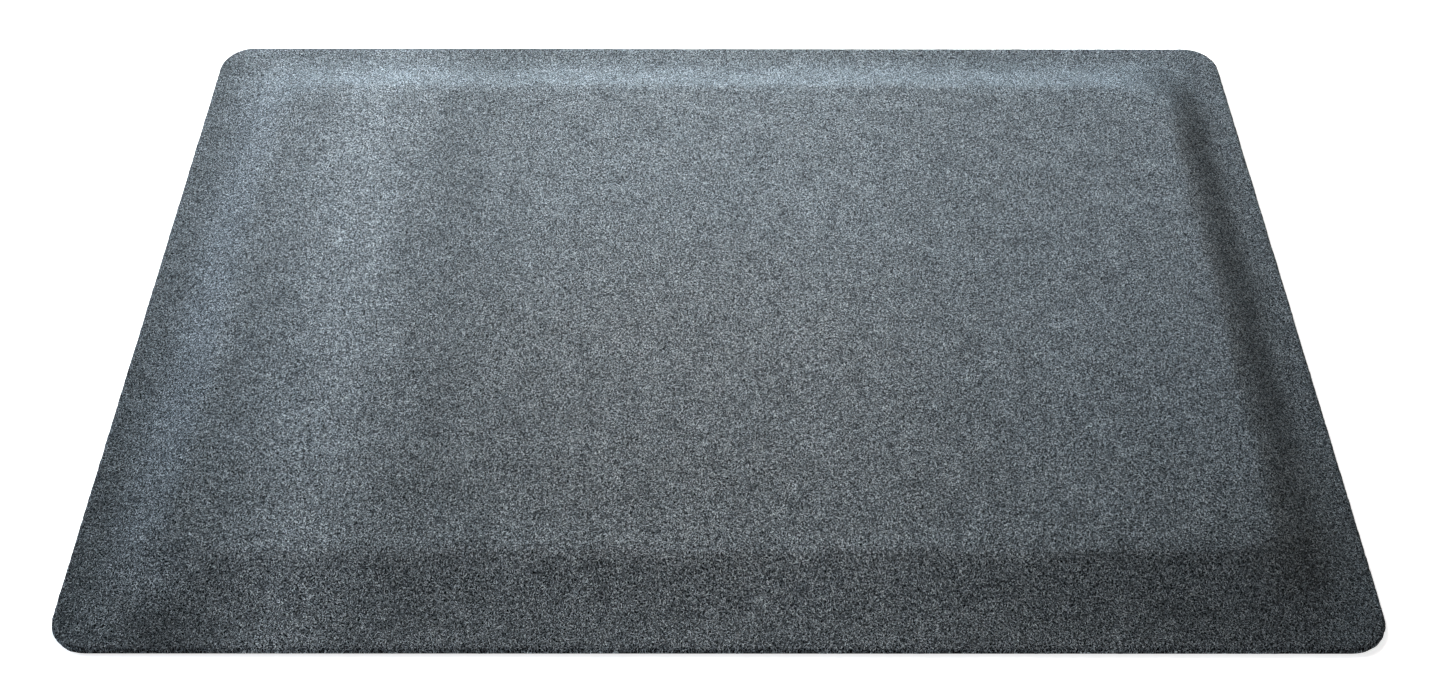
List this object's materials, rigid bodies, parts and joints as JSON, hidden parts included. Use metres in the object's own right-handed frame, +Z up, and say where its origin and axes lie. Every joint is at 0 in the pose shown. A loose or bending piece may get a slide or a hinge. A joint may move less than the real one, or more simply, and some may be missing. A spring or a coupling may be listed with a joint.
{
  "type": "anti-fatigue mat",
  "caption": "Rounded rectangular standing mat with a fabric face, a sloped bevel on all four sides, a foam core and a cleated rubber underside.",
  "frame": {"origin": "on the floor, under the centre of the mat", "axes": "+X along the long side, +Y along the short side, +Z up through the standing surface"},
  "size_m": [0.9144, 0.6096, 0.019],
  "materials": {
    "face_fabric": "matte",
    "rubber_sheet": "matte",
    "soft_foam": "matte",
    "firm_foam": "matte",
    "rubber_base": "satin"
  },
  "bodies": {
    "root": {"face_fabric": "face_fabric", "upper_rubber_skin": "rubber_sheet", "comfort_foam": "soft_foam", "support_foam": "firm_foam", "cleated_rubber_base": "rubber_base"}
  },
  "joints": []
}
